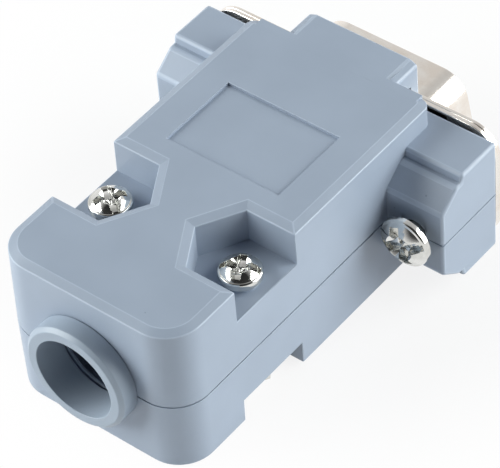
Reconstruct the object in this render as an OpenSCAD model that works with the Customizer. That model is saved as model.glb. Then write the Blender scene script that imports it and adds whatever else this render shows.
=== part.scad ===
// Nine-way D-sub cable connector in a two-part plastic hood.
// The socket connector sits in the front of the hood, the two halves are held
// by two case screws and nuts, and two captive jackscrews fasten it to its mate.
//
// Frame: the origin is on the connector's axis, on the front face of its flange.
// +Y points at the mating side, +X to the right seen from the cable, +Z up.
// The two halves of the hood meet in the plane Z = 0. Millimetres.

/* [Connector] */
// Distance between the two fixing holes of the flange
hole_spacing = 24.99; // [24.99:0.01:48]
// Flange end beyond the centre of its hole
flange_end = 2.75; // [2.5:0.01:4]
// Height of the flange
flange_h = 12.55; // [12:0.05:14]
// Corner radius of the flange
flange_corner_r = 2.8; // [1:0.1:3]
// Diameter of the fixing holes in the flange
flange_hole_d = 3.05; // [3:0.01:3.4]
// Thickness of the metal sheet
sheet_t = 0.4; // [0.3:0.05:0.5]
// From the centre of a fixing hole to the widest point of the front shell
hole_to_front_shell = 4.33; // [4:0.01:5]
// Height of the front shell over its outside
front_shell_h = 7.9; // [7.5:0.05:8.2]
// How far the front shell stands out from the flange
front_shell_l = 5.84; // [5:0.02:7]
// Corner radius of the front shell over its outside
front_shell_r = 2.6; // [1.5:0.1:3]
// From the centre of a fixing hole to the widest point of the rear shell
hole_to_rear_shell = 2.855; // [2.6:0.005:3.5]
// Height of the rear shell over its outside
rear_shell_h = 10.72; // [10:0.02:11]
// How far the rear shell stands back from the flange
rear_shell_l = 4.6; // [4:0.1:6]
// Corner radius of the rear shell over its outside
rear_shell_r = 3.4; // [2:0.1:4]
// Slope of the two short sides of the shells, in degrees
side_slope = 10; // [5:1:15]

/* [Contacts] */
// Distance between neighbouring contacts of one row
contact_pitch = 2.77; // [2.7:0.01:2.8]
// Distance between the two rows
row_spacing = 2.84; // [2.6:0.02:3]
// Number of contacts in the wide row; the narrow row has one less
wide_row = 5; // [5:1:5]
// Diameter of the pin that a contact takes
pin_d = 1.04; // [1:0.01:1.1]
// Diameter of a contact's barrel
barrel_d = 1.8; // [1.6:0.05:1.9]
// Diameter of the collar that holds a contact between the insulators
contact_collar_d = 2.3; // [2.1:0.05:2.4]
// Diameter of a contact's solder cup
cup_d = 1.9; // [1.6:0.05:2.2]
// Length of a contact's solder cup
cup_l = 3.2; // [2.5:0.1:4]
// How far the front insulator's face lies inside the rim of the front shell
face_recess = 0.4; // [0.2:0.05:1]
// How far the rear insulator stands out behind the rear shell
insulator_tail = 1.2; // [0.5:0.1:2]
// Gap between an insulator and what it sits in
insulator_gap = 0.05; // [0.03:0.01:0.1]

/* [Hood] */
// Length of the body from its front edge to its rear wall
body_l = 34.65; // [33:0.05:46]
// Height of the upper half above the parting plane
upper_h = 8.5; // [8.2:0.05:12]
// Height of the lower half below the parting plane
lower_h = 7.5; // [7.4:0.05:11]
// Thickness of the walls
wall = 1.3; // [1:0.05:1.6]
// Radius of the rear corners, seen from above
corner_r = 3.5; // [2.5:0.1:5]
// Radius of the front corners, seen from above
front_corner_r = 1.1; // [1.05:0.05:1.5]
// How far each outer wall leans in towards the top
draft = 0.1; // [0:0.05:0.2]
// Width of the bevel round the top edge
bevel_w = 0.8; // [0.4:0.05:1]
// Depth of the bevel round the top edge
bevel_d = 0.35; // [0.2:0.05:0.8]
// Open line between the rims of the two halves
parting_gap = 0.16; // [0.06:0.02:0.2]
// Width of the label recess
label_w = 11.86; // [8:0.02:14]
// Length of the label recess
label_l = 8.3; // [6:0.1:12]
// Depth of the label recess
label_d = 0.3; // [0.15:0.05:0.5]
// From the front edge of the body to the label recess
label_from_front = 8.05; // [6:0.05:12]

/* [Wings] */
// Distance of the wing's outer face from the jackscrew's axis
wing_outer = 3.0; // [2.95:0.05:4]
// Half of the wing's height at its front
wing_half_h = 6.05; // [6:0.05:6.5]
// Length of the wing from front to rear
wing_l = 7.75; // [7:0.05:10]
// Length of the flat top of the wing
wing_flat_l = 4.85; // [4:0.05:5.5]
// Height of the small step behind the flat top
wing_step = 0.82; // [0.4:0.02:1.2]
// Half height of the wing's rear face
wing_rear_half_h = 3.55; // [3.2:0.05:4.5]
// Gap between the flange and the front faces of the wings
flange_gap = 0.25; // [0.1:0.05:0.4]
// How far the body's front edge lies behind the front faces of the wings
body_setback = 0.9; // [0.5:0.05:1.5]
// Thickness of the web in the wing that holds the jackscrew
neck_web = 1.8; // [1.2:0.1:2.5]

/* [Front lips] */
// Width of the lip that reaches over the flange
lip_w = 11.8; // [8:0.1:14]
// How far the lip reaches in front of the flange
lip_reach = 1.2; // [1:0.05:2]
// Gap between the lip and the flange
lip_gap = 0.12; // [0.08:0.02:0.3]
// How far the lip hangs down in front of the flange's edge
lip_drop = 1.65; // [1:0.05:1.8]

/* [Case screws] */
// Across flats of the six-sided screw pockets
pocket_af = 7.85; // [6.5:0.05:8.5]
// Centre of a pocket inwards from the body's side
pocket_inset = 2.8; // [2.7:0.05:3.2]
// Centre of a pocket forwards from the rear wall
pocket_from_rear = 11.75; // [11:0.05:14]
// Height of the pocket floor above the parting plane, and below it
pocket_floor = 4.75; // [4.3:0.05:5.2]
// Thickness of the pocket's own walls
pocket_wall = 1.2; // [0.9:0.05:1.4]
// Diameter of the raised seat under the case screw's head
case_seat_d = 3.2; // [2.8:0.1:3.6]
// Height of the raised seat
case_seat_h = 0.5; // [0.3:0.05:0.8]
// Diameter of the case screw's thread
case_screw_d = 2; // [2:0.1:2.2]
// Diameter of the case screw's head
case_head_d = 3.8; // [3.5:0.1:4.4]
// Height of the case screw's head
case_head_h = 1.5; // [1.3:0.1:1.8]
// Length of the case screw under its head
case_screw_l = 12; // [11.6:0.1:12]
// Across flats of the case nut
nut_af = 4; // [3.8:0.1:4.5]
// Height of the case nut
nut_h = 1.6; // [1.2:0.1:1.8]
// Depth of the seat that keeps the case nut from turning
nut_seat = 0.5; // [0.3:0.05:0.7]
// Gap round the case nut in its seat
nut_gap = 0.06; // [0.04:0.01:0.1]
// Diameter of the bosses round the case screws
boss_d = 4.4; // [4:0.1:5]

/* [Jackscrews] */
// Outer diameter of the jackscrew's thread
jack_thread_d = 2.84; // [2.5:0.01:2.9]
// Length of the jackscrew's thick end
jack_thread_l = 5.6; // [4:0.1:6]
// How far the thread stands out in front of the flange
jack_reach = 2.2; // [1:0.1:4]
// Diameter of the jackscrew behind its threaded end
jack_inner_d = 2.4; // [2.3:0.05:2.7]
// Diameter of the jackscrew's plain shank
jack_shank_d = 2.3; // [2:0.05:2.4]
// Diameter of the jackscrew's head
jack_head_d = 4.9; // [4.5:0.1:5.6]
// Height of the jackscrew's head
jack_head_h = 1.6; // [1.2:0.1:2]
// How far the head stands off the rear face of the wing
jack_stand_off = 1; // [0.3:0.1:1.5]
// Gap between the head and the side of the body
head_side_gap = 0.35; // [0.08:0.01:0.6]
// Radial gap between the shank and the hole that it turns in
shank_gap = 0.08; // [0.05:0.01:0.1]

/* [Cable end] */
// Bore of the bushing that the cable enters by
bushing_bore_d = 7.86; // [5:0.02:8]
// Diameter of the bushing's outer rim
bushing_rim_d = 10.3; // [9.8:0.1:10.8]
// How far the bushing stands out of the rear wall
bushing_reach = 1.95; // [1:0.05:3]
// Diameter of the bushing where it passes the rear wall
bushing_neck_d = 9.1; // [8.9:0.1:9.4]
// Diameter of the ring that is trapped in the hood
bushing_ring_d = 10.1; // [9.6:0.1:10.6]
// Thickness of the rear wall's edge in the bushing's groove
bushing_groove = 0.6; // [0.5:0.05:0.8]
// Thickness of the trapped ring
bushing_ring_t = 0.65; // [0.5:0.05:1]
// Height of the cable's axis above the parting plane
cable_z = 0.5; // [0:0.05:0.7]
// Gap between the bushing and the hood
bushing_gap = 0.05; // [0.03:0.01:0.1]
// Inner radius of the cable clamp's arch
clamp_r = 3.6; // [2.5:0.1:3.8]
// Thickness of the cable clamp's strip
clamp_t = 0.8; // [0.5:0.05:1]
// Width of the cable clamp's strip along the cable
clamp_w = 4; // [3:0.1:4.4]
// Distance of the clamp screws from the cable's axis
clamp_screw_x = 6.2; // [6:0.1:6.4]
// From the rear wall to the middle of the clamp
clamp_from_rear = 5.1; // [4.8:0.1:5.5]
// Diameter of the clamp screw
clamp_screw_d = 2; // [1.8:0.1:2.2]
// Diameter of the clamp screw's head
clamp_head_d = 3.4; // [3:0.1:3.6]
// Height of the clamp screw's head
clamp_head_h = 1.2; // [1:0.1:1.4]
// Length of the clamp screw under its head
clamp_screw_l = 5; // [4:0.1:5.5]

/* [Hidden] */
$fn = 96;
over = 1;
snug = 0.05;
tuck = 0.0015;

hood_color = "#a6b0c2";
steel_color = "#c9c9c4";
tin_color = "#c8c4b8";
gold_color = "#c9a24a";
insulator_color = "#23262b";

// Connector, from front to rear
jack_x = hole_spacing / 2;
flange_w = hole_spacing + 2 * flange_end;
front_shell_w = hole_spacing - 2 * hole_to_front_shell;
rear_shell_w = hole_spacing - 2 * hole_to_rear_shell;
flange_rear_y = -2 * sheet_t;
rear_shell_y = flange_rear_y - rear_shell_l;
face_y = front_shell_l - face_recess;
split_y = (rear_shell_y - sheet_t) / 2;
tail_y = rear_shell_y - insulator_tail;
cup_end_y = tail_y - cup_l;

// Hood, from front to rear
half_w = jack_x - jack_head_d / 2 - head_side_gap;
wing_x = jack_x + wing_outer;
wing_y = flange_rear_y - flange_gap;
wing_rear_y = wing_y - wing_l;
neck_y = wing_rear_y + neck_web;
body_y = wing_y - body_setback;
body_rear_y = body_y - body_l;
inner_half_w = half_w - wall;
inner_rear_y = body_rear_y + wall;
bay_gap = 0.2;
bay_half_w = rear_shell_w / 2 + bay_gap;
bay_half_h = rear_shell_h / 2 + bay_gap;
bay_rear_y = rear_shell_y - bay_gap;
front_wall_y = body_y - wall;
pocket_x = half_w - pocket_inset;
pocket_y = body_rear_y + pocket_from_rear;
lip_half_w = lip_w / 2;
lip_under_z = flange_h / 2 - lip_drop;
nut_r = nut_af / 2 / cos(30);
jack_head_y = wing_rear_y - jack_stand_off;
thread_start_y = 0.15;
bushing_in_y = body_rear_y + bushing_groove + bushing_ring_t;
clamp_y = body_rear_y + clamp_from_rear;
clamp_foot_z = 0.3;
clamp_boss_r = 1.75;

// ---- helpers ----

// Extrudes an outline drawn in X and Z along Y, from y0 forward to y1.
module along_y(y0, y1) {
    translate([0, y1, 0])
        rotate([90, 0, 0])
            linear_extrude(y1 - y0)
                children();
}

// Extrudes an outline drawn in Y and Z along X, from x0 to x1.
module along_x(x0, x1) {
    translate([x0, 0, 0])
        rotate([90, 0, 90])
            linear_extrude(x1 - x0)
                children();
}

// A round bar along Y, from y0 forward to y1, at x and z.
module bar_y(r, y0, y1, x = 0, z = 0) {
    translate([x, y1, z])
        rotate([90, 0, 0])
            cylinder(r = r, h = y1 - y0);
}

// A box given by its two corners.
module box(a, b) {
    translate(a)
        cube(b - a);
}

// A pair, mirrored about the middle plane.
module both_sides() {
    children();
    mirror([1, 0, 0])
        children();
}

// The D outline, wide side down: four corner circles joined by a polygon.
// The polygon's sides lie a hair inside the circles' tangents, so that each
// circle crosses it cleanly instead of only touching it.
module d_outline(w, h, r) {
    tuck_r = r - tuck;
    wide_x = w / 2 - r;
    corner_z = h / 2 - r;
    narrow_x = wide_x - 2 * corner_z * tan(side_slope);
    out_x = tuck_r * cos(side_slope);
    out_z = tuck_r * sin(side_slope);
    edge_z = corner_z + tuck_r;
    for (s = [-1, 1]) {
        translate([s * wide_x, -corner_z])
            circle(r);
        translate([s * narrow_x, corner_z])
            circle(r);
    }
    polygon([
        [wide_x, -edge_z], [wide_x + out_x, out_z - corner_z],
        [narrow_x + out_x, out_z + corner_z], [narrow_x, edge_z],
        [-narrow_x, edge_z], [-narrow_x - out_x, out_z + corner_z],
        [-wide_x - out_x, out_z - corner_z], [-wide_x, -edge_z]
    ]);
}

// A rectangle with round corners, centred.
module round_rect(w, h, r) {
    square([w - 2 * r, h], center = true);
    square([w, h - 2 * r], center = true);
    for (x = [-1, 1], z = [-1, 1])
        translate([x * (w / 2 - r), z * (h / 2 - r)])
            circle(r);
}

// A pan head on a flat face: a short side and a domed top, along +Z.
module pan_head(d, h) {
    side_h = 0.45 * h;
    dome_h = h - side_h;
    dome_r = (pow(d / 2, 2) + pow(dome_h, 2)) / (2 * dome_h);
    intersection() {
        cylinder(d = d, h = h + over);
        translate([0, 0, h - dome_r])
            sphere(r = dome_r);
    }
}

// The cross recess with a slot through it, to be cut from a head's top at z = 0.
module cross_recess(width, span, slot_span, depth) {
    for (a = [0, 90])
        rotate(a)
            translate([-span / 2, -width / 2, -depth])
                cube([span, width, depth + over]);
    translate([-slot_span / 2, -width / 2, -depth / 2])
        cube([slot_span, width, depth / 2 + over]);
}

// ---- hood ----

// Wall profile of one half, from the parting plane to height h: the distance
// x out to the drafted side, then the bevel, then the flat top.
module side_profile(x, h) {
    polygon([
        [0, 0], [x, 0], [x - draft, h - bevel_d],
        [x - draft - bevel_w, h], [0, h]
    ]);
}

// Solid outer form of one half of the body: straight walls joined by turned
// corners, with the bevel running round the sides and the rear.
module body_block(h) {
    both_sides() {
        along_y(body_rear_y + corner_r, body_y - front_corner_r)
            side_profile(half_w, h);
        translate([half_w - corner_r, body_rear_y + corner_r, 0])
            rotate([0, 0, -90])
                rotate_extrude(angle = 90)
                    side_profile(corner_r, h);
        translate([half_w - front_corner_r, body_y - front_corner_r, 0])
            rotate_extrude(angle = 90)
                side_profile(front_corner_r, h);
        along_x(0, half_w - corner_r)
            translate([body_rear_y + corner_r, 0])
                mirror([1, 0])
                    side_profile(corner_r, h);
    }
    box([front_corner_r - half_w, body_y - 2 * front_corner_r, 0],
        [half_w - front_corner_r, body_y, h]);
}

// Hollow of one half of the body.
module body_hollow(h) {
    inner_r = corner_r - wall;
    translate([0, 0, -over]) {
        linear_extrude(h - wall + over) {
            translate([-inner_half_w, inner_rear_y + inner_r])
                square([2 * inner_half_w, front_wall_y - inner_rear_y - inner_r]);
            translate([inner_r - inner_half_w, inner_rear_y])
                square([2 * (inner_half_w - inner_r), inner_r + over]);
            for (s = [-1, 1])
                translate([s * (inner_half_w - inner_r), inner_rear_y + inner_r])
                    circle(inner_r);
        }
    }
}

// One wing in side view: flat top, small step, slope and rear face.
module wing_outline() {
    step_z = wing_half_h - wing_step;
    polygon([
        [wing_y, 0], [wing_y, wing_half_h],
        [wing_y - wing_flat_l, wing_half_h],
        [wing_y - wing_flat_l - 0.15, step_z],
        [wing_y - wing_flat_l - 0.75, step_z - 0.08],
        [wing_rear_y, wing_rear_half_h], [wing_rear_y, 0]
    ]);
}

// Lightening pocket of a wing, open to the front beside the jackscrew.
module wing_pocket() {
    web = 1;
    pocket_l = wing_flat_l - web;
    box([bay_half_w + web, wing_y - pocket_l, jack_thread_d / 2 + 2 * web],
        [wing_x - web, wing_y + over, wing_half_h - web]);
}

// Lip over the flange: a roof and the part that hangs down in front of it.
module lip(h) {
    roof_z = flange_h / 2 + lip_gap;
    slab_y = body_y - wall / 2;
    both_sides() {
        difference() {
            along_y(slab_y, lip_reach)
                side_profile(lip_half_w, h);
            box([-over, slab_y - over, -over],
                [lip_half_w + over, lip_gap, roof_z]);
            box([-over, 0, -over],
                [lip_half_w + over, lip_reach + over, lip_under_z]);
        }
        box([lip_half_w - 2.4, body_y - wall / 2, bay_half_h + 0.1],
            [lip_half_w - 1.4, flange_rear_y - snug, roof_z + wall / 2]);
    }
}

// Six-sided prism of a screw pocket, from z0 to z1.
module pocket_prism(af, z0, z1) {
    translate([pocket_x, pocket_y, z0])
        cylinder(d = af / cos(30), h = z1 - z0, $fn = 6);
}

// The top edge's bevel carried round a screw pocket, to be cut out. It runs on
// past the top face by the snug amount, at the same slope.
module pocket_bevel(h) {
    bevel_top_d = bevel_d + snug;
    bevel_top_w = bevel_w * bevel_top_d / bevel_d;
    half_af = pocket_af / 2;
    translate([pocket_x, pocket_y, h - bevel_d])
        cylinder(r1 = half_af / cos(30), r2 = (half_af + bevel_top_w) / cos(30),
                 h = bevel_top_d, $fn = 6);
    along_x(pocket_x, half_w + over)
        polygon([
            [pocket_y - half_af, h - bevel_d], [pocket_y + half_af, h - bevel_d],
            [pocket_y + half_af + bevel_top_w, h + snug],
            [pocket_y - half_af - bevel_top_w, h + snug]
        ]);
}

// One half of the hood without its holes along Z, drawn upwards.
module half_shell(h) {
    difference() {
        union() {
            difference() {
                union() {
                    body_block(h);
                    both_sides()
                        along_x(0, wing_x)
                            wing_outline();
                }
                body_hollow(h);
                // bay for the rear metal shell
                box([-bay_half_w, bay_rear_y, -over],
                    [bay_half_w, wing_y + over, bay_half_h]);
                box([-inner_half_w, front_wall_y - 2 * wall, -over],
                    [inner_half_w, bay_rear_y + over, bay_half_h]);
            }
            lip(h);
            intersection() {
                both_sides() {
                    pocket_prism(pocket_af + 2 * pocket_wall,
                                 pocket_floor - wall, h - wall / 2);
                    translate([pocket_x, pocket_y, 0])
                        cylinder(d = boss_d, h = pocket_floor);
                }
                body_block(h);
            }
            bushing_land(h);
        }
        // line between the rims, left out at the bosses
        difference() {
            box([-wing_x - over, body_rear_y - over, -over],
                [wing_x + over, lip_reach + over, parting_gap / 2]);
            both_sides()
                translate([pocket_x, pocket_y, -2 * over])
                    cylinder(d = boss_d, h = 3 * over);
        }
        both_sides() {
            pocket_prism(pocket_af, pocket_floor, h + over);
            pocket_bevel(h);
            // the pocket is open to the side
            box([pocket_x, pocket_y - pocket_af / 2, pocket_floor],
                [half_w + over, pocket_y + pocket_af / 2, h + over]);
            bar_y(jack_shank_d / 2 + shank_gap,
                  wing_rear_y - over, neck_y + over, jack_x);
            bar_y(jack_thread_d / 2 + 0.35, neck_y, wing_y + over, jack_x);
            wing_pocket();
        }
    }
}

// Thick land inside the rear wall that traps the bushing's ring.
module bushing_land(h) {
    land_w = bushing_ring_d + 2 * wall;
    box([-land_w / 2, inner_rear_y - wall / 2, 0],
        [land_w / 2, bushing_in_y + wall / 2, h - wall / 2]);
}

// What the bushing takes out of the rear wall, about its own axis.
module bushing_cut() {
    bar_y(bushing_neck_d / 2 + bushing_gap,
          body_rear_y - over, body_rear_y + bushing_groove + over, 0, cable_z);
    bar_y(bushing_ring_d / 2 + bushing_gap,
          body_rear_y + bushing_groove - bushing_gap, bushing_in_y + bushing_gap,
          0, cable_z);
    bar_y(bushing_bore_d / 2 + 0.3,
          bushing_in_y - over, bushing_in_y + wall, 0, cable_z);
}

module upper_shell() {
    label_y = body_y - label_from_front;
    color(hood_color)
        difference() {
            union() {
                half_shell(upper_h);
                both_sides()
                    translate([pocket_x, pocket_y, pocket_floor - snug])
                        cylinder(d = case_seat_d, h = case_seat_h + snug);
            }
            box([-label_w / 2, label_y - label_l, upper_h - label_d],
                [label_w / 2, label_y, upper_h + over]);
            both_sides()
                translate([pocket_x, pocket_y, -over])
                    cylinder(d = case_screw_d + 2 * snug, h = pocket_floor + 2 * over);
            bushing_cut();
        }
}

module lower_shell() {
    color(hood_color)
        difference() {
            union() {
                mirror([0, 0, 1])
                    half_shell(lower_h);
                both_sides()
                    translate([clamp_screw_x, clamp_y, wall / 2 - lower_h])
                        cylinder(r = clamp_boss_r,
                                 h = lower_h - wall / 2 + clamp_foot_z);
                clamp_saddle();
            }
            both_sides() {
                translate([pocket_x, pocket_y, -pocket_floor - over])
                    cylinder(d = case_screw_d + 2 * snug, h = pocket_floor + 2 * over);
                translate([pocket_x, pocket_y, -pocket_floor - over])
                    cylinder(r = nut_r + nut_gap, h = over + nut_seat, $fn = 6);
                translate([clamp_screw_x, clamp_y, clamp_foot_z - clamp_screw_l])
                    cylinder(d = clamp_screw_d + 2 * snug, h = clamp_screw_l + over);
            }
            bushing_cut();
        }
}

// Cross rib of the lower half that the cable lies on under the clamp.
module clamp_saddle() {
    difference() {
        box([-clamp_screw_x, clamp_y - wall / 2, wall / 2 - lower_h],
            [clamp_screw_x, clamp_y + wall / 2, -parting_gap]);
        bar_y(clamp_r, clamp_y - wall, clamp_y + wall, 0, cable_z);
    }
}

module cable_bushing() {
    rim_bevel = 0.35;
    color(hood_color)
        difference() {
            union() {
                translate([0, body_rear_y - bushing_reach, cable_z])
                    rotate([-90, 0, 0]) {
                        cylinder(d1 = bushing_rim_d - 2 * rim_bevel, d2 = bushing_rim_d,
                                 h = rim_bevel);
                        translate([0, 0, rim_bevel])
                            cylinder(d = bushing_rim_d, h = bushing_reach - rim_bevel);
                    }
                bar_y(bushing_neck_d / 2, body_rear_y - snug, bushing_in_y, 0, cable_z);
                bar_y(bushing_ring_d / 2, body_rear_y + bushing_groove,
                      bushing_in_y, 0, cable_z);
            }
            bar_y(bushing_bore_d / 2, body_rear_y - bushing_reach - over,
                  bushing_in_y + over, 0, cable_z);
        }
}

// ---- case screws and nuts ----

module case_screw() {
    color(steel_color)
        translate([pocket_x, pocket_y, pocket_floor + case_seat_h]) {
            difference() {
                pan_head(case_head_d, case_head_h);
                translate([0, 0, case_head_h])
                    cross_recess(0.7, 2.3, 3.4, 0.9);
            }
            translate([0, 0, -case_screw_l])
                cylinder(d = case_screw_d, h = case_screw_l + snug);
        }
}

module case_nut() {
    color(steel_color)
        translate([pocket_x, pocket_y, nut_seat - pocket_floor - nut_h])
            difference() {
                cylinder(r = nut_r, h = nut_h, $fn = 6);
                translate([0, 0, -over])
                    cylinder(d = case_screw_d + 0.04, h = nut_h + 2 * over);
            }
}

module case_screw_right() { case_screw(); }
module case_screw_left() { mirror([1, 0, 0]) case_screw(); }
module case_nut_right() { case_nut(); }
module case_nut_left() { mirror([1, 0, 0]) case_nut(); }

// ---- jackscrews ----

module jackscrew(turn) {
    thread_y = jack_reach - jack_thread_l;
    point = 0.4;
    color(steel_color) {
        translate([jack_x, jack_head_y, 0])
            rotate([90, 0, 0])
                difference() {
                    pan_head(jack_head_d, jack_head_h);
                    translate([0, 0, jack_head_h])
                        rotate(turn)
                            cross_recess(0.9, 3.2, 5, 1.1);
                }
        bar_y(jack_shank_d / 2, jack_head_y - snug, thread_y + snug, jack_x);
        bar_y(jack_inner_d / 2, thread_y, thread_start_y, jack_x);
        bar_y(jack_thread_d / 2, thread_start_y, jack_reach - point, jack_x);
        translate([jack_x, jack_reach - point, 0])
            rotate([-90, 0, 0])
                cylinder(d1 = jack_thread_d, d2 = jack_thread_d - 2 * point, h = point);
    }
}

module jackscrew_right() { jackscrew(22); }
module jackscrew_left() { mirror([1, 0, 0]) jackscrew(50); }

// ---- metal shells and insulators ----

module flange_sheet(y0, y1) {
    along_y(y0, y1)
        difference() {
            round_rect(flange_w, flange_h, flange_corner_r);
            for (s = [-1, 1])
                translate([s * jack_x, 0])
                    circle(d = flange_hole_d);
        }
}

module front_metal_shell() {
    color(tin_color)
        difference() {
            union() {
                flange_sheet(-sheet_t, 0);
                along_y(-sheet_t, front_shell_l)
                    d_outline(front_shell_w, front_shell_h, front_shell_r);
            }
            along_y(-sheet_t - over, front_shell_l + over)
                d_outline(front_shell_w - 2 * sheet_t, front_shell_h - 2 * sheet_t,
                          front_shell_r - sheet_t);
        }
}

module rear_metal_shell() {
    color(tin_color)
        difference() {
            union() {
                flange_sheet(flange_rear_y, -sheet_t);
                along_y(rear_shell_y, -sheet_t)
                    d_outline(rear_shell_w, rear_shell_h, rear_shell_r);
            }
            along_y(rear_shell_y + sheet_t, over)
                d_outline(rear_shell_w - 2 * sheet_t, rear_shell_h - 2 * sheet_t,
                          rear_shell_r - sheet_t);
            along_y(rear_shell_y - over, 0)
                d_outline(front_shell_w, front_shell_h, front_shell_r);
        }
}

// The insulator's outline inside a sheet-metal shell of outer size w by h.
module inside_shell(w, h, r) {
    inset = sheet_t + insulator_gap;
    d_outline(w - 2 * inset, h - 2 * inset, r - inset);
}

module front_insulator() {
    barrel_hole_r = barrel_d / 2 + insulator_gap;
    entry_y = face_y - 0.5;
    color(insulator_color)
        difference() {
            union() {
                along_y(-sheet_t - snug, face_y)
                    inside_shell(front_shell_w, front_shell_h, front_shell_r);
                along_y(split_y, -sheet_t)
                    inside_shell(rear_shell_w, rear_shell_h, rear_shell_r);
            }
            for (i = [1 : 2 * wide_row - 1]) {
                bar_y(barrel_hole_r, split_y - over, entry_y, contact_x(i), contact_z(i));
                bar_y(pin_d / 2 + insulator_gap, split_y, face_y + over,
                      contact_x(i), contact_z(i));
                translate([contact_x(i), face_y - 0.3, contact_z(i)])
                    rotate([-90, 0, 0])
                        cylinder(r1 = pin_d / 2, r2 = pin_d / 2 + 0.35, h = 0.31);
                bar_y(contact_collar_d / 2 + insulator_gap, split_y - over, split_y + 0.5,
                      contact_x(i), contact_z(i));
            }
        }
}

module rear_insulator() {
    stem_hole_r = barrel_d / 2 - 0.1 + insulator_gap;
    color(insulator_color)
        difference() {
            union() {
                along_y(rear_shell_y + sheet_t, split_y)
                    inside_shell(rear_shell_w, rear_shell_h, rear_shell_r);
                along_y(tail_y, rear_shell_y + sheet_t + snug)
                    inside_shell(front_shell_w + 2 * sheet_t,
                                 front_shell_h + 2 * sheet_t,
                                 front_shell_r + sheet_t);
            }
            for (i = [1 : 2 * wide_row - 1]) {
                bar_y(stem_hole_r, tail_y - over, split_y + over, contact_x(i), contact_z(i));
                bar_y(contact_collar_d / 2 + insulator_gap, split_y - 0.5, split_y + over,
                      contact_x(i), contact_z(i));
            }
        }
}

// ---- contacts ----

// Contacts 1 to 5 lie in the wide row, 6 to 9 in the narrow one.
function in_wide_row(i) = i <= wide_row;
function contact_x(i) = in_wide_row(i)
    ? (i - (wide_row + 1) / 2) * contact_pitch
    : (i - wide_row - wide_row / 2) * contact_pitch;
function contact_z(i) = (in_wide_row(i) ? -1 : 1) * row_spacing / 2;

// A turned socket contact: slotted barrel, holding collar, stem, solder cup.
module contact(i) {
    barrel_y = face_y - 0.5 - insulator_gap;
    stem_r = barrel_d / 2 - 0.1;
    bore_l = 6;
    wall_t = 0.3;
    cup_open = cup_l - 0.8;
    color(gold_color)
        translate([contact_x(i), 0, contact_z(i)])
            difference() {
                union() {
                    bar_y(barrel_d / 2, split_y, barrel_y);
                    bar_y(contact_collar_d / 2, split_y - 0.45, split_y + 0.45);
                    bar_y(stem_r, tail_y, split_y);
                    bar_y(cup_d / 2, cup_end_y, tail_y - insulator_gap);
                    bar_y(stem_r, tail_y - insulator_gap - snug, tail_y + snug);
                }
                bar_y(pin_d / 2, barrel_y - bore_l, barrel_y + over);
                box([-0.15, barrel_y - 4, -barrel_d], [0.15, barrel_y + over, barrel_d]);
                bar_y(cup_d / 2 - wall_t, cup_end_y - over, cup_end_y + cup_open);
                box([-cup_d, cup_end_y - over, 0.25],
                    [cup_d, cup_end_y + cup_open - 0.6, cup_d]);
            }
}

module contact_1() { contact(1); }
module contact_2() { contact(2); }
module contact_3() { contact(3); }
module contact_4() { contact(4); }
module contact_5() { contact(5); }
module contact_6() { contact(6); }
module contact_7() { contact(7); }
module contact_8() { contact(8); }
module contact_9() { contact(9); }

// ---- cable clamp ----

// A strip bent over the cable, with a flat foot on each boss.
module cable_clamp() {
    foot_end = clamp_screw_x + clamp_boss_r;
    foot_top = clamp_foot_z + clamp_t;
    color(steel_color)
        difference() {
            along_y(clamp_y - clamp_w / 2, clamp_y + clamp_w / 2)
                difference() {
                    union() {
                        translate([0, cable_z])
                            circle(clamp_r + clamp_t);
                        translate([-foot_end, clamp_foot_z])
                            square([2 * foot_end, clamp_t]);
                    }
                    translate([0, cable_z])
                        circle(clamp_r);
                    translate([-foot_end - over, clamp_foot_z - 2 * foot_end])
                        square([2 * foot_end + 2 * over, 2 * foot_end]);
                }
            both_sides()
                translate([clamp_screw_x, clamp_y, clamp_foot_z - over])
                    cylinder(d = clamp_screw_d + 2 * snug, h = clamp_t + 2 * over);
        }
}

module clamp_screw() {
    color(steel_color)
        translate([clamp_screw_x, clamp_y, clamp_foot_z + clamp_t]) {
            difference() {
                pan_head(clamp_head_d, clamp_head_h);
                translate([0, 0, clamp_head_h])
                    cross_recess(0.6, 2, 2, 0.7);
            }
            translate([0, 0, -clamp_screw_l])
                cylinder(d = clamp_screw_d, h = clamp_screw_l + snug);
        }
}

module clamp_screw_right() { clamp_screw(); }
module clamp_screw_left() { mirror([1, 0, 0]) clamp_screw(); }

upper_shell();
lower_shell();
cable_bushing();
case_screw_left();
case_screw_right();
case_nut_left();
case_nut_right();
jackscrew_left();
jackscrew_right();
front_metal_shell();
rear_metal_shell();
front_insulator();
rear_insulator();
contact_1();
contact_2();
contact_3();
contact_4();
contact_5();
contact_6();
contact_7();
contact_8();
contact_9();
cable_clamp();
clamp_screw_left();
clamp_screw_right();
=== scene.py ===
# %% [markdown]
# # A D-sub cable connector in its moulded hood
# The frame holds every piece of the connector as plain solids in their true
# places. This lesson dresses them: it rounds the edges that a mould rounds,
# turns the screws with their threads and recesses, and gives each surface its
# finish. Lengths are written in millimetres and turned to metres at the end.

# %% Load the frame
import bpy, bmesh
import numpy as np
from mathutils import Matrix, Vector
from mathutils.bvhtree import BVHTree


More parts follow.
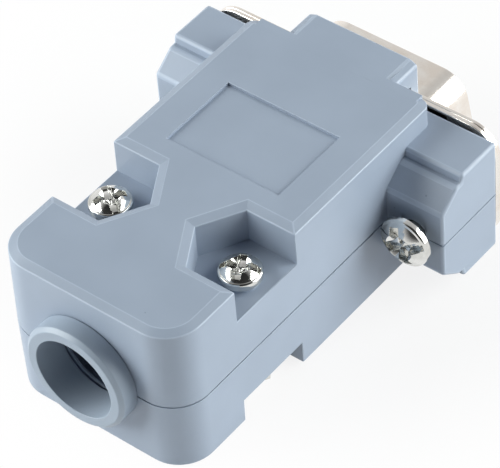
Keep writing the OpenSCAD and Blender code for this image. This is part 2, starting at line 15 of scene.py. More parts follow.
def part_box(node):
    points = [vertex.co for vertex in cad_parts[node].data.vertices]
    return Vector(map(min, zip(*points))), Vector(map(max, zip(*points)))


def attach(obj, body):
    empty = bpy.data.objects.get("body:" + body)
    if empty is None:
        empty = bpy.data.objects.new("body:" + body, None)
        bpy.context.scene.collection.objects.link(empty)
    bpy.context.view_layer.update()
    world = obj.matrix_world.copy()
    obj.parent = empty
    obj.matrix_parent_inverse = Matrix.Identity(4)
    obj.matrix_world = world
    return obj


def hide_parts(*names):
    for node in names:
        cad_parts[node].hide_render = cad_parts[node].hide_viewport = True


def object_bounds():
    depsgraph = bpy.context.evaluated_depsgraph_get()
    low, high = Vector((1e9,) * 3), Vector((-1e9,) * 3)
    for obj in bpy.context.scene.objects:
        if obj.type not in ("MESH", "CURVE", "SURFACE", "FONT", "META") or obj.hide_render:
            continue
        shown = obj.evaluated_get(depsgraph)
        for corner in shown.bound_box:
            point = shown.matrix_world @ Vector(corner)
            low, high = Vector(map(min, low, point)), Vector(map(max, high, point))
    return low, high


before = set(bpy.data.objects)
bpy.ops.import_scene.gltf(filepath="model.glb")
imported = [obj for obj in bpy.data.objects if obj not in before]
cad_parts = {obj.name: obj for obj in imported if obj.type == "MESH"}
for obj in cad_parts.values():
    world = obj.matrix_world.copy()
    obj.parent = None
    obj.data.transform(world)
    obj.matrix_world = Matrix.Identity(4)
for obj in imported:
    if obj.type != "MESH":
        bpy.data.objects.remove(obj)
scene = bpy.context.scene
cad_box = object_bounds()
MM = 0.001


def corners(node):
    """Lowest and highest corner of a CAD node as two arrays, in millimetres."""
    low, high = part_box(node)
    return np.array(low) / MM, np.array(high) / MM


print("whole object, mm:", (np.array(cad_box) / MM).round(2).tolist())

# %% [markdown]
# The camera comes first. It looks down on the hood from behind its right
# side. A long lens was chosen over a near one, so that parallel edges stay
# nearly parallel, as they do in a picture for a parts list.

# %% Camera
AZIMUTH, ELEVATION, ROLL = np.radians([41.462, 45.034, -4.677])
CAMERA_AT = np.array([129.936, -162.11, 196.473])
LENS, SENSOR = 235.16, 36
SHIFT = (-0.00441, -0.03669)
CLIP = (0.01, 20)

back = np.array([np.sin(AZIMUTH) * np.cos(ELEVATION),
                 -np.cos(AZIMUTH) * np.cos(ELEVATION), np.sin(ELEVATION)])
side = np.cross([0, 0, 1], back)
side /= np.linalg.norm(side)
up = np.cross(back, side)
cam_x = side * np.cos(ROLL) + up * np.sin(ROLL)
cam_y = -side * np.sin(ROLL) + up * np.cos(ROLL)

camera_data = bpy.data.cameras.new("camera")
camera_data.lens, camera_data.sensor_width = LENS, SENSOR
camera_data.shift_x, camera_data.shift_y = SHIFT
camera_data.clip_start, camera_data.clip_end = CLIP
camera = bpy.data.objects.new("camera", camera_data)
scene.collection.objects.link(camera)
scene.camera = camera
turn = Matrix(np.column_stack([cam_x, cam_y, back]).tolist()).to_4x4()
camera.matrix_world = Matrix.Translation(Vector(CAMERA_AT * MM)) @ turn
print("camera distance, mm:", np.linalg.norm(CAMERA_AT).round(1))

# %% [markdown]
# Four small helpers serve every material. Colours are written as they look on
# a screen and turned to linear light by one function. One function adds any
# node with its settings and links, because a list of nodes then reads like a
# recipe. A material starts with the object's own coordinates, so that its
# patterns stay put as pieces move, and a pattern's scale comes from a size.

# %% Helpers for materials
def linear(hex_colour):
    """sRGB hex to linear RGBA: the standard sRGB curve on each channel."""
    c = np.array([int(hex_colour[i:i + 2], 16) for i in (1, 3, 5)]) / 255
    c = np.where(c <= 0.04045, c / 12.92, ((c + 0.055) / 1.055) ** 2.4)
    return (*c, 1)


def add(tree, kind, settings=None, **inputs):
    """Adds a shader node. Settings are its own properties, and "stops" are a
    colour ramp's (position, grey or hex colour) pairs. Inputs are sockets, set
    or linked, named by their words with _ for a space, or by _ and a number."""
    node = tree.nodes.new("ShaderNode" + kind)
    for key, value in (settings or {}).items():
        if key != "stops":
            setattr(node, key, value)
            continue
        cells = node.color_ramp.elements
        while len(cells) < len(value):
            cells.new(0.5)
        for cell, (at, tone) in zip(cells, value):
            cell.position = at
            cell.color = linear(tone) if isinstance(tone, str) else (tone, tone, tone, 1)
    for key, value in inputs.items():
        number = key[1:]
        socket = node.inputs[int(number) if number.isdigit() else key.replace("_", " ")]
        if isinstance(value, bpy.types.NodeSocket):
            tree.links.new(value, socket)
        else:
            socket.default_value = value
    return node


def new_material(name):
    """An empty material: itself, its tree, its shader and object coordinates."""
    material = bpy.data.materials.new(name)
    material.use_nodes = True
    tree = material.node_tree
    shader = tree.nodes["Principled BSDF"]
    place = add(tree, "TexCoord").outputs["Object"]
    return material, tree, shader, place


def per_metre(size_mm):
    """The Scale of a texture whose features are size_mm apart."""
    return 1 / (size_mm * MM)


print("mid grey, linear:", round(linear("#808080")[0], 3))

# %% [markdown]
# The hood is injection-moulded ABS. Its mould was spark-eroded and lightly
# polished, which leaves a satin skin with a grain of about 0.15 mm, slow
# waves where the plastic shrank, a faint clouding of the pigment, and a few
# dark specks from burnt resin. The grain could be real geometry, but at this
# size bump is enough. The rounded edges get a paler copy without specks,
# which paints a highlight along them.

# %% Moulded ABS
CLOUD_MM, SPECK_MM, GRAIN_MM, WAVE_MM = 7, 2.6, 0.15, 3
SPECK_SHARE, SPECK_STRENGTH, SPECK_COLOUR = 0.12, 0.45, "#5c6878"
WAVE_HEIGHT, GRAIN_HEIGHT = 0.06, 0.008
SPECK_FADE = [(0.02, 1.0), (0.045, 0.0)]
SATIN = [(0.3, 0.36), (0.7, 0.46)]   # roughness over the clouding
ABS_IOR = 1.54


def moulded_abs(name, light, dark, specks=True):
    """Satin ABS: clouded pigment, specks, grain and slow shrink waves. The eye
    gets a matt sheen that breaks up slightly, never a mirror."""
    material, tree, shader, place = new_material(name)
    clouds = add(tree, "TexNoise", Vector=place, Scale=per_metre(CLOUD_MM), Detail=4.0)
    colour = add(tree, "ValToRGB", {"stops": [(0.35, dark), (0.65, light)]},
                 Fac=clouds.outputs["Fac"]).outputs["Color"]
    if specks:
        dots = add(tree, "TexVoronoi", Vector=place, Scale=per_metre(SPECK_MM))
        pick = add(tree, "SeparateColor", Color=dots.outputs["Color"])
        rare = add(tree, "Math", {"operation": "LESS_THAN"},
                   _0=pick.outputs[0], _1=SPECK_SHARE)
        near = add(tree, "ValToRGB", {"stops": SPECK_FADE},
                   Fac=dots.outputs["Distance"]).outputs["Color"]
        dot = add(tree, "Math", {"operation": "MULTIPLY"}, _0=near, _1=rare.outputs[0])
        soft = add(tree, "Math", {"operation": "MULTIPLY"},
                   _0=dot.outputs[0], _1=SPECK_STRENGTH)
        mix = add(tree, "Mix", {"data_type": "RGBA"},
                  _0=soft.outputs[0], _6=colour, _7=linear(SPECK_COLOUR))
        colour = mix.outputs[2]
    tree.links.new(colour, shader.inputs["Base Color"])
    grain = add(tree, "TexNoise", Vector=place, Scale=per_metre(GRAIN_MM), Detail=2.0)
    waves = add(tree, "TexNoise", Vector=place, Scale=per_metre(WAVE_MM), Detail=1.0)
    rough = add(tree, "ValToRGB", {"stops": SATIN},
                Fac=clouds.outputs["Fac"]).outputs["Color"]
    tree.links.new(rough, shader.inputs["Roughness"])
    shader.inputs["IOR"].default_value = ABS_IOR
    slow = add(tree, "Bump", Height=waves.outputs["Fac"],
               Strength=0.35, Distance=WAVE_HEIGHT * MM)
    fine = add(tree, "Bump", Height=grain.outputs["Fac"],
               Normal=slow.outputs["Normal"], Strength=0.4, Distance=GRAIN_HEIGHT * MM)
    tree.links.new(fine.outputs["Normal"], shader.inputs["Normal"])
    return material


abs_hood = moulded_abs("grey_abs", "#9eaabb", "#99a5b6")
# A paler copy of the grey ABS for the rounded edges: a painted highlight along them.
painted_highlight_abs = moulded_abs("painted_highlight_grey_abs", "#b0bccc", "#aab6c7", specks=False)
abs_bushing = moulded_abs("grey_abs_bushing", "#9da9b8", "#97a4b3", specks=False)
print("plastics:", abs_hood.name, painted_highlight_abs.name, abs_bushing.name)

# %% [markdown]
# The metals differ by their plating. Nickel on a cold-headed screw is bright,
# with fine scratches from tumbling. Tin on the stamped shells is whiter and
# softer, with a faint rolling direction. The clamp strip inside is zinc
# plated, and the contacts have a thin gold plate. One recipe makes all four,
# because only their tint, their roughness and the size of their marks differ.

# %% Plated metals
STAIN_MM, SCRATCH_HEIGHT = 1.8, 0.006


def plated(name, light, dark, rough, scratch_mm, stretch=(1, 1, 1)):
    """Plated metal: a patchy tint, and a scratched roughness and relief. The
    eye gets a bright reflection with soft, uneven edges."""
    material, tree, shader, place = new_material(name)
    shader.inputs["Metallic"].default_value = 1.0
    run = add(tree, "Mapping", Vector=place, Scale=stretch)
    marks = add(tree, "TexNoise", Vector=run.outputs[0],
                Scale=per_metre(scratch_mm), Detail=4.0, Roughness=0.6)
    stain = add(tree, "TexNoise", Vector=place, Scale=per_metre(STAIN_MM), Detail=3.0)
    colour = add(tree, "ValToRGB", {"stops": [(0.35, dark), (0.6, light)]},
                 Fac=stain.outputs["Fac"]).outputs["Color"]
    tree.links.new(colour, shader.inputs["Base Color"])
    low, high = rough
    level = add(tree, "ValToRGB", {"stops": [(0.35, low), (0.7, high)]},
                Fac=marks.outputs["Fac"]).outputs["Color"]
    tree.links.new(level, shader.inputs["Roughness"])
    relief = add(tree, "Bump", Height=marks.outputs["Fac"],
                 Strength=0.3, Distance=SCRATCH_HEIGHT * MM)
    tree.links.new(relief.outputs["Normal"], shader.inputs["Normal"])
    return material


nickel = plated("nickel_plate", "#e6e6e3", "#cdcdc8", (0.06, 0.16), 0.12)
tin = plated("tin_plate", "#f6f1ea", "#efe6dc", (0.1, 0.22), 0.2, (1, 6, 1))
zinc = plated("zinc_plate", "#b9bcc0", "#9fa3a8", (0.3, 0.45), 0.2)
gold = plated("gold_plate", "#e8c27a", "#d9ac5c", (0.16, 0.3), 0.15)
print("metals:", nickel.name, tin.name, zinc.name, gold.name)

# %% [markdown]
# The insulators are black polyester with short glass fibres, moulded round
# the contacts' places. The fibres lie along the flow of the plastic, so the
# pattern is a noise that is squeezed one way.

# %% Glass-filled polyester
FIBRE_MM, FIBRE_HEIGHT, FIBRE_SQUEEZE = 0.25, 0.008, (1, 1, 3)
FIBRE_TONES = [(0.4, "#1b1d20"), (0.75, "#2d3034")]
POLYESTER_IOR, POLYESTER_ROUGHNESS = 1.57, 0.42


def glass_filled(name):
    """Black glass-filled polyester: nearly black, with pale fibre streaks that
    give the eye a dry, slightly rough skin."""
    material, tree, shader, place = new_material(name)
    run = add(tree, "Mapping", Vector=place, Scale=FIBRE_SQUEEZE)
    fibres = add(tree, "TexNoise", Vector=run.outputs[0],
                 Scale=per_metre(FIBRE_MM), Detail=5.0, Roughness=0.7)
    colour = add(tree, "ValToRGB", {"stops": FIBRE_TONES},
                 Fac=fibres.outputs["Fac"]).outputs["Color"]
    tree.links.new(colour, shader.inputs["Base Color"])
    shader.inputs["Roughness"].default_value = POLYESTER_ROUGHNESS
    shader.inputs["IOR"].default_value = POLYESTER_IOR
    relief = add(tree, "Bump", Height=fibres.outputs["Fac"],
                 Strength=0.4, Distance=FIBRE_HEIGHT * MM)
    tree.links.new(relief.outputs["Normal"], shader.inputs["Normal"])
    return material


insulator = glass_filled("glass_filled_polyester")
print("insulator:", insulator.name)

# %% [markdown]
# A mould can't leave a razor edge, and the light on rounded edges is what
# makes plastic look moulded. Every edge could be rounded, but the hidden ones
# inside would only cost faces and fold where walls are thin. So each half is
# a copy of its CAD solid, and its outward edges are found by sending a ray
# from each edge away from the solid: if it meets nothing, the edge can be
# felt, and a Bevel modifier rounds it.

# %% Finding outward edges
RAY_START = 2e-5          # metres off the edge, so that the ray misses its own faces
LEAST_TURN = 18           # degrees between an edge's faces, under which it's left


def outward_edges(bm, keep):
    """The convex edges that face outwards, with their midpoints in mm. The ray
    starts a hair off the edge, along the mean of its two faces' normals."""
    tree = BVHTree.FromBMesh(bm)
    found = []
    for edge in bm.edges:
        faces = edge.link_faces
        if len(faces) != 2 or edge.calc_face_angle_signed(0) < np.radians(LEAST_TURN):
            continue
        out = (faces[0].normal + faces[1].normal).normalized()
        mid = (edge.verts[0].co + edge.verts[1].co) / 2
        if keep(out) and tree.ray_cast(mid + out * RAY_START, out)[0] is None:
            found.append((edge, np.array(mid) / MM))
    return found


print("edges are rounded from, degrees:", LEAST_TURN)

# %% [markdown]
# The copy's loose triangles are merged and its flat faces joined, or the
# modifier would round every triangle's edge. A large face keeps a sharp
# border unless a curve meets it, so that its shading stays level.

# %% Rounding a copy
MERGE, FLAT_ANGLE = 1e-6, 0.002
LARGE_FACE = (1.2 * MM) ** 2      # a face above this area isn't part of a curve
SHARP_LARGE, SHARP_SMALL = 9, 28  # degrees, at a large and at a small face
SEGMENTS = 3


def rounded_copy(node, name, materials, body, keep, radius_at, most):
    """A copy of a CAD node, its doubles merged, its flat faces joined and its
    outward edges rounded by radius_at(midpoint) mm, at most `most` mm. A second
    material, if there is one, goes on the rounded edges; the halves' paler one
    paints a highlight there."""
    bm = bmesh.new()
    bm.from_mesh(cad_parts[node].data)
    bmesh.ops.remove_doubles(bm, verts=bm.verts, dist=MERGE)
    bmesh.ops.dissolve_limit(bm, angle_limit=FLAT_ANGLE, verts=bm.verts, edges=bm.edges)
    weight = bm.edges.layers.float.new("bevel_weight_edge")
    edges = outward_edges(bm, keep)
    for edge, mid in edges:
        edge[weight] = min(radius_at(mid) / most, 1)
    for face in bm.faces:
        face.smooth = True
    for edge in bm.edges:
        area = max((face.calc_area() for face in edge.link_faces), default=0)
        limit = SHARP_LARGE if area > LARGE_FACE else SHARP_SMALL
        edge.smooth = bool(edge.calc_face_angle(0) < np.radians(limit))
    mesh = bpy.data.meshes.new(name)
    bm.to_mesh(mesh)
    bm.free()
    piece = bpy.data.objects.new(name, mesh)
    scene.collection.objects.link(piece)
    rounding = piece.modifiers.new("rounding", "BEVEL")
    rounding.limit_method = "WEIGHT"
    rounding.width = most * MM
    rounding.segments = SEGMENTS
    rounding.use_clamp_overlap = False
    rounding.harden_normals = True
    for material in materials:
        mesh.materials.append(material)
    rounding.material = len(materials) - 1
    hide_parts(node)
    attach(piece, body)
    print(name, "rounded edges:", len(edges))


print("a large face is over, mm2:", round(LARGE_FACE / MM ** 2, 2))

# %% [markdown]
# The halves are rounded by place, as the mould is made: crisp at the parting
# rims and at the label's recess, where the cutter leaves a true corner, soft
# on the wings, which fingers hold, and in between elsewhere.

# %% The two halves and the bushing
BODY_HALF_W, FLANGE_REAR = 9.695, -1.05
LABEL_HALF_W, LABEL_REAR, LABEL_FRONT = 5.93, -18.3, -10.0
NEAR = 0.1                # mm by which a place is widened, so its border counts
RIM, RIM_R = 0.2, 0.03
TOP, TOP_R = 0.05, 0.05
LABEL, LABEL_R = 0.5, 0.05
WING_R, LIP_R, BODY_R = 0.3, 0.2, 0.08
BUSHING_R = 0.08
SIDEWAYS = 0.8            # a half's edges that point further to its mate stay sharp
upper_top = corners("upper_shell")[1][2]


def hood_radius(mid):
    """Rounding in mm by place: the parting rims, the top's border, the label's
    recess, the wings, the lips over the flange, and the rest of the body."""
    x, y, z = mid
    if abs(z) < RIM:
        return RIM_R
    if z > upper_top - TOP and y < FLANGE_REAR:
        return TOP_R
    on_label = abs(x) < LABEL_HALF_W + NEAR and LABEL_REAR - NEAR < y < LABEL_FRONT + NEAR
    if on_label and z > upper_top - LABEL:
        return LABEL_R
    if abs(x) > BODY_HALF_W + NEAR:
        return WING_R
    return LIP_R if y > FLANGE_REAR else BODY_R


# Both halves take the paler ABS on their rounded edges: a painted highlight.
rounded_copy("upper_shell", "upper_half", [abs_hood, painted_highlight_abs], "hood",
             lambda out: out.z > -SIDEWAYS, hood_radius, WING_R)
rounded_copy("lower_shell", "lower_half", [abs_hood, painted_highlight_abs], "hood",
             lambda out: out.z < SIDEWAYS, hood_radius, WING_R)
rounded_copy("cable_bushing", "bushing", [abs_bushing], "hood",
             lambda out: True, lambda mid: BUSHING_R, BUSHING_R)

# %% [markdown]
# The stamped shells get the same treatment with a smaller radius: a punch
# leaves one soft and one burred edge on a thin sheet, and tin flows over both.

# %% Stamped shells
FRONT_SHEET_R, REAR_SHEET_R = 0.09, 0.07
rounded_copy("front_metal_shell", "front_shell", [tin], "hood",
             lambda out: True, lambda mid: FRONT_SHEET_R, FRONT_SHEET_R)
rounded_copy("rear_metal_shell", "rear_shell", [tin], "hood",
             lambda out: True, lambda mid: REAR_SHEET_R, REAR_SHEET_R)

# %% [markdown]
# A screw's recess takes a cross driver or a flat blade. It could be cut with
# a Boolean, but a depth worked out over the head gives smooth walls and no
# stray faces. The same smooth step serves every wall.

# %% The recess in a screw's head
WING_TAPER, FLOOR_RISE, CONE = 0.25, 0.6, 1.15
SLOT_END = 0.06


def blend(x, low, high):
    """Smooth step: 0 below low, 1 above high, 3t^2 - 2t^3 between."""
    t = np.clip((x - low) / (high - low), 0, 1)
    return t * t * (3 - 2 * t)


def recess(x, y, size):
    """Depth of a cross recess with a slot, at points x, y on the head. Each of
    the cross's wings narrows and rises outwards, down from the middle's cone,
    and ends in a steep wall; the slot is longer and has a level floor."""
    depth = np.zeros_like(x)
    wall, cross = size["wall"], size["cross"]
    for along, across in ((abs(x), abs(y)), (abs(y), abs(x))):
        half = size["wing"] / 2 * (1 - WING_TAPER * along / cross)
        fall = size["depth"] * (1 - FLOOR_RISE * along / cross)
        cut = blend(half - across, -wall, wall) * blend(cross - along, -wall, wall)
        depth = np.maximum(depth, cut * fall)
    middle = size["depth"] * (CONE - np.hypot(x, y) / size["wing"])
    depth = np.maximum(depth, middle)
    cut = blend(size["slot"] / 2 - abs(y), -wall, wall)
    level = cut * size["slot_depth"] * blend(size["slot_reach"] - abs(x), 0, SLOT_END)
    return np.maximum(depth, level)


print("half-way up a wall:", blend(0.0, -1, 1))

# %% [markdown]
# A screw is one grid. Going along it, a profile runs from the middle of the
# head over its dome, down its side, under it and along the shank to the tip.
# Going round it, the angle. The recess lowers the dome where a driver's blades
# go in, and the thread shrinks the radius between its crests. One grid closes
# without seams, which separate heads, shanks and threads would not.

# %% A screw as one grid
AROUND, DOME_ROWS, SHOULDER_ROWS = 240, 90, 7
DOME_SPREAD, DOME_POWER = 0.9, 2.2
UNDER_EDGE, UNDER_FILLET = 0.08, 0.12
SHANK_START, SHANK_STEP = 0.1, 0.06
POINT_L, POINT_CUT = 0.4, 0.35
RUN_OUT, CREST, ROOT = 0.3, 0.05, 0.95


def head_profile(head):
    """Radii and heights down a head: a dome that falls with a power of the
    radius, a quarter circle for its shoulder, then its side's lower edge."""
    r, side_h, h, shoulder = head["r"], head["side_h"], head["h"], head["shoulder"]
    flat_r, dome_edge = r - shoulder, side_h + shoulder
    dome_r = flat_r * np.linspace(0, 1, DOME_ROWS) ** DOME_SPREAD
    dome_z = dome_edge + (h - dome_edge) * (1 - (dome_r / flat_r) ** DOME_POWER)
    bend = np.linspace(0, np.pi / 2, SHOULDER_ROWS)[1:]
    bend_r = flat_r + shoulder * np.sin(bend)
    bend_z = side_h + shoulder * np.cos(bend)
    return (np.concatenate([dome_r, bend_r, [r, r - UNDER_EDGE]]),
            np.concatenate([dome_z, bend_z, [UNDER_EDGE, 0]]))


def shank_profile(shank):
    """Radii and heights down a shank: a fillet, a plain neck, the full
    radius, and a chamfer at the tip that ends in the middle."""
    length = shank["length"]
    z = -np.linspace(SHANK_START, length, int(length / SHANK_STEP))
    neck_r, neck_l = shank.get("neck", (shank["r"], 0))
    r = np.where(-z < neck_l, neck_r, shank["r"])
    r = r - POINT_CUT * (1 - np.clip((length + z) / POINT_L, 0, 1))
    return (np.concatenate([[shank["r"] + UNDER_FILLET], r, [0]]),
            np.concatenate([[0], z, [-length]]))


def screw(head, shank, size):
    """Vertices and quads of a screw on the Z axis, head up, underside at z = 0.
    The thread's depth is a smooth wave of z / pitch less the share of a turn,
    so that it climbs as a right-hand screw does."""
    rr, zz = [np.concatenate(pair) for pair in zip(head_profile(head), shank_profile(shank))]
    angle = np.linspace(0, 2 * np.pi, AROUND, endpoint=False)
    R = np.repeat(rr[:, None], AROUND, 1)
    Z = np.repeat(zz[:, None], AROUND, 1)
    A = np.repeat(angle[None], len(rr), 0)
    row = np.arange(len(rr))
    Z = Z - np.where((row < DOME_ROWS)[:, None],
                     recess(R * np.cos(A), R * np.sin(A), size), 0)
    phase = (Z / shank["pitch"] - A / (2 * np.pi)) % 1
    groove = shank["groove"] * blend(1 - abs(2 * phase - 1), CREST, ROOT)
    start = shank["thread_from"]
    threaded = blend(-zz, start, start + RUN_OUT) * (row < len(rr) - 1)
    R = R - groove * threaded[:, None]
    points = np.stack([R * np.cos(A), R * np.sin(A), Z], -1)
    i = row[:-1, None] * AROUND
    j = np.arange(AROUND)[None]
    k = (j + 1) % AROUND
    quads = np.stack([i + j, i + AROUND + j, i + AROUND + k, i + k], -1)
    return points.reshape(-1, 3), quads.reshape(-1, 4)


print("points round a screw:", AROUND)

# %% [markdown]
# Each screw takes its CAD node's place. The head's top and the tip are where
# the node's are, and the head is turned as a hand left it. The poles of the
# grid are many points in one place, so doubles are merged before the normals
# are worked out again.

# %% Placing a screw
MERGE_POLES, SHARP_SCREW = 2e-7, 40
UPRIGHT = np.eye(3)
HEAD_TO_REAR = np.array([[1, 0, 0], [0, 0, -1], [0, 1, 0]])  # local +Z becomes -Y


def place_mesh(name, points, faces, matrix, offset):
    """A mesh object from points in mm, turned by a 3x3 matrix and moved."""
    mesh = bpy.data.meshes.new(name)
    placed = (points @ matrix.T + offset) * MM
    mesh.from_pydata(placed.tolist(), [], faces.tolist())
    bm = bmesh.new()
    bm.from_mesh(mesh)
    bmesh.ops.remove_doubles(bm, verts=bm.verts, dist=MERGE_POLES)
    bmesh.ops.recalc_face_normals(bm, faces=bm.faces)
    bm.to_mesh(mesh)
    bm.free()
    mesh.shade_smooth()
    mesh.set_sharp_from_angle(angle=np.radians(SHARP_SCREW))
    piece = bpy.data.objects.new(name, mesh)
    scene.collection.objects.link(piece)
    return piece


def fit_screw(node, body, head, shank, size, upright, degrees):
    """Makes a screw in its CAD node's place, turned about its own axis by
    degrees; the head's top meets the node's end."""
    low, high = corners(node)
    x, y, z = (low + high) / 2
    c, s = np.cos(np.radians(degrees)), np.sin(np.radians(degrees))
    spin = np.array([[c, -s, 0], [s, c, 0], [0, 0, 1]])
    stand = UPRIGHT if upright else HEAD_TO_REAR
    seat = [x, y, high[2] - head["h"]] if upright else [x, low[1] + head["h"], z]
    points, faces = screw(head, shank, size)
    piece = place_mesh(node + "_turned", points, faces, stand @ spin, np.array(seat))
    piece.data.materials.append(nickel)
    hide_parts(node)
    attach(piece, body)
    print(piece.name, "quads:", len(faces))


print("a lying screw's head points to:", (HEAD_TO_REAR @ [0, 0, 1]).tolist())

# %% [markdown]
# The jackscrews carry the fine inch thread of their standard, 40 turns to the
# inch, on the part that reaches past the flange, with a thinner neck behind
# it. A large slotted head lets a flat blade or a thumb tighten them. Each
# rides on its own body, because it turns in the hood.

# %% The two jackscrews
jack_low, jack_high = corners("jackscrew_right")
JACK_HEAD = {"r": 2.45, "side_h": 0.45, "h": 1.6, "shoulder": 0.25}
JACK_SHANK_L = jack_high[1] - jack_low[1] - JACK_HEAD["h"]
JACK_THREAD_L, JACK_THICK_L = 5.4, 5.6
JACK_SHANK = {"r": 1.41, "length": JACK_SHANK_L, "pitch": 0.635, "groove": 0.33,
              "thread_from": JACK_SHANK_L - JACK_THREAD_L,
              "neck": (1.14, JACK_SHANK_L - JACK_THICK_L)}
JACK_RECESS = {"wing": 1.15, "cross": 1.85, "depth": 1.3, "wall": 0.04,
               "slot": 0.75, "slot_reach": 2.4, "slot_depth": 0.6}
for node, degrees in (("jackscrew_right", 22), ("jackscrew_left", -50)):
    fit_screw(node, node, JACK_HEAD, JACK_SHANK, JACK_RECESS, False, degrees)

# %% [markdown]
# The case screws are small metric ones that pull the halves together from the
# pockets. Their heads are the same shape at a smaller size.

# %% The two case screws
case_low, case_high = corners("case_screw_right")
CASE_HEAD = {"r": 1.9, "side_h": 0.55, "h": 1.5, "shoulder": 0.22}
CASE_SHANK = {"r": 0.99, "length": case_high[2] - case_low[2] - CASE_HEAD["h"],
              "pitch": 0.4, "groove": 0.2, "thread_from": 4.0}
CASE_RECESS = {"wing": 0.85, "cross": 1.4, "depth": 1.05, "wall": 0.035,
               "slot": 0.55, "slot_reach": 1.85, "slot_depth": 0.45}
for node, degrees in (("case_screw_right", 24), ("case_screw_left", -32)):
    fit_screw(node, "hood", CASE_HEAD, CASE_SHANK, CASE_RECESS, True, degrees)

# %% [markdown]
# The nuts, the clamp, the insulators and the contacts already have their real
# shapes, so their solids stay and only take a finish.

# %% Pieces that keep their solids
FINISHES = {"case_nut_left": nickel, "case_nut_right": nickel,
            "clamp_screw_left": nickel, "clamp_screw_right": nickel,
            "cable_clamp": zinc, "front_insulator": insulator, "rear_insulator": insulator}
FINISHES.update({f"contact_{i}": gold for i in range(1, 10)})
for node, material in FINISHES.items():
    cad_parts[node].data.materials[0] = material
print("solids with a new finish:", len(FINISHES))

# %% [markdown]
# The connector lies on a white table, as small goods are pictured in a light
# tent. The floor is white to the eye far from the object and keeps a soft
# shadow close to it. It could be lit until it is white, but that would light
# the hood too, so what the camera sees is mixed in by the kind of ray.

# %% Floor
FLOOR_REACH = 3.0
FLOOR_GAP = 0.05          # mm under the object, so that the two faces never coincide
PAPER, PAPER_ROUGHNESS, PAPER_SHINE = 0.9, 0.9, 0.1
WHITE = (1, 1, 1, 1)
NEAR_FLOOR, FAR_FLOOR = (0.024, 0.84), (0.04, 1.0)  # metres out, and share of white

floor_z = cad_box[0][2] - FLOOR_GAP * MM
r = FLOOR_REACH
floor_mesh = bpy.data.meshes.new("floor")
floor_mesh.from_pydata([(-r, -r, floor_z), (r, -r, floor_z), (r, r, floor_z),
                        (-r, r, floor_z)], [], [(0, 1, 2, 3)])
floor = bpy.data.objects.new("floor", floor_mesh)
scene.collection.objects.link(floor)

paper, tree, shader, place = new_material("white_table")
shader.inputs["Base Color"].default_value = (PAPER, PAPER, PAPER, 1)
shader.inputs["Roughness"].default_value = PAPER_ROUGHNESS
shader.inputs["Specular IOR Level"].default_value = PAPER_SHINE
glow = add(tree, "Emission", Strength=1.0, Color=WHITE)
path = add(tree, "LightPath")
far = add(tree, "VectorMath", {"operation": "LENGTH"}, _0=place)
edge = add(tree, "ValToRGB", {"stops": [NEAR_FLOOR, FAR_FLOOR]},
           Fac=far.outputs["Value"]).outputs["Color"]
seen = add(tree, "Math", {"operation": "MAXIMUM"},
           _0=path.outputs["Is Camera Ray"], _1=path.outputs["Is Glossy Ray"])
share = add(tree, "Math", {"operation": "MULTIPLY"}, _0=seen.outputs[0], _1=edge)
both = add(tree, "MixShader", _0=share.outputs[0],
           _1=shader.outputs[0], _2=glow.outputs[0])
tree.links.new(both.outputs[0], tree.nodes["Material Output"].inputs["Surface"])
floor_mesh.materials.append(paper)
print("floor height, mm:", round(floor_z / MM, 2))

# %% [markdown]
# The tent's cloth gives a weak light from all round, slightly cooler from
# above. Bright metal needs something to reflect, so to glossy rays the cloth
# is white low down, greyer high up, and dark at the gap that the camera looks
# through. That gap draws the dark accents in the screws.

# %% World
TENT_LIGHT = 0.08
CLOTH_TINT = [(0.0, "#ffffff"), (0.35, "#f4f6ff"), (1.0, "#dfe2f4")]
CLOTH_SEEN = [(0.05, 1.0), (0.55, 0.85), (0.9, 0.45)]
CAMERA_GAP = [(0.5, 1.0), (0.8, 0.06)]

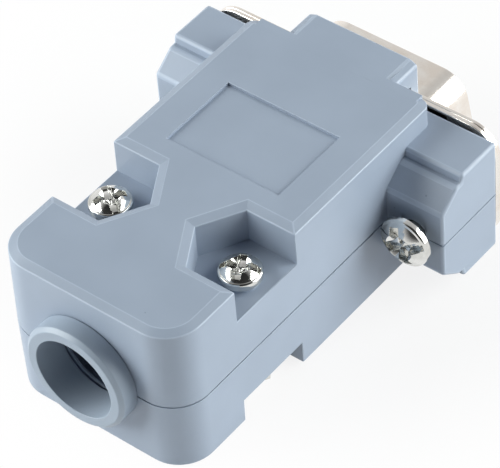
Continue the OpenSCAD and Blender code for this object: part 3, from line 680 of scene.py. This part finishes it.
world = bpy.data.worlds.new("light_tent")
scene.world = world
world.use_nodes = True
tree = world.node_tree
tent = tree.nodes["Background"]
sky = add(tree, "TexCoord").outputs["Generated"]
height = add(tree, "SeparateXYZ", Vector=sky).outputs["Z"]
tint = add(tree, "ValToRGB", {"stops": CLOTH_TINT}, Fac=height).outputs["Color"]
tree.links.new(tint, tent.inputs["Color"])
tent.inputs["Strength"].default_value = TENT_LIGHT
facing = add(tree, "VectorMath", {"operation": "DOT_PRODUCT"}, _0=sky, _1=tuple(back))
gap = add(tree, "ValToRGB", {"stops": CAMERA_GAP},
          Fac=facing.outputs["Value"]).outputs["Color"]
cloth = add(tree, "ValToRGB", {"stops": CLOTH_SEEN}, Fac=height).outputs["Color"]
mirror = add(tree, "Mix", {"data_type": "RGBA", "blend_type": "MULTIPLY"},
             _0=1.0, _6=gap, _7=cloth)
shine = add(tree, "Background", Color=mirror.outputs[2], Strength=1.0)
plain = add(tree, "Background", Color=WHITE, Strength=1.0)
path = add(tree, "LightPath")
glossy = add(tree, "MixShader", _0=path.outputs["Is Glossy Ray"],
             _1=tent.outputs[0], _2=shine.outputs[0])
both = add(tree, "MixShader", _0=path.outputs["Is Camera Ray"],
           _1=glossy.outputs[0], _2=plain.outputs[0])
tree.links.new(both.outputs[0], tree.nodes["World Output"].inputs["Surface"])
print("tent's light:", TENT_LIGHT)

# %% [markdown]
# Two large softboxes stand left and right of the camera's view, not far above
# the table. Low side light leaves the pockets and the collar's far side in
# shade, which shows their depth. A lamp at the camera would flatten them.

# %% Softboxes
BOX_SIZE, BOX_DISTANCE, BOX_COLOUR = 0.4, 0.45, "#fbfffd"
AIM = (0, -0.017, 0)      # metres, the middle of the hood


def softbox(name, azimuth, elevation, power):
    """A square lamp that faces the object from azimuth, elevation in degrees."""
    a, e = np.radians([azimuth, elevation])
    way = np.array([np.sin(a) * np.cos(e), -np.cos(a) * np.cos(e), np.sin(e)])
    data = bpy.data.lights.new(name, "AREA")
    data.shape, data.size = "SQUARE", BOX_SIZE
    data.energy = power
    data.color = linear(BOX_COLOUR)[:3]
    lamp = bpy.data.objects.new(name, data)
    scene.collection.objects.link(lamp)
    lamp.location = Vector(way * BOX_DISTANCE) + Vector(AIM)
    lamp.rotation_euler = Vector(way).to_track_quat("Z", "Y").to_euler()
    print(name, "watts:", power)


softbox("left_box", -54, 23, 3.0)
softbox("right_box", 129, 24, 2.9)

# %% [markdown]
# Last, the colours are shown as they are written.

# %% Finish
scene.view_settings.view_transform = "Standard"
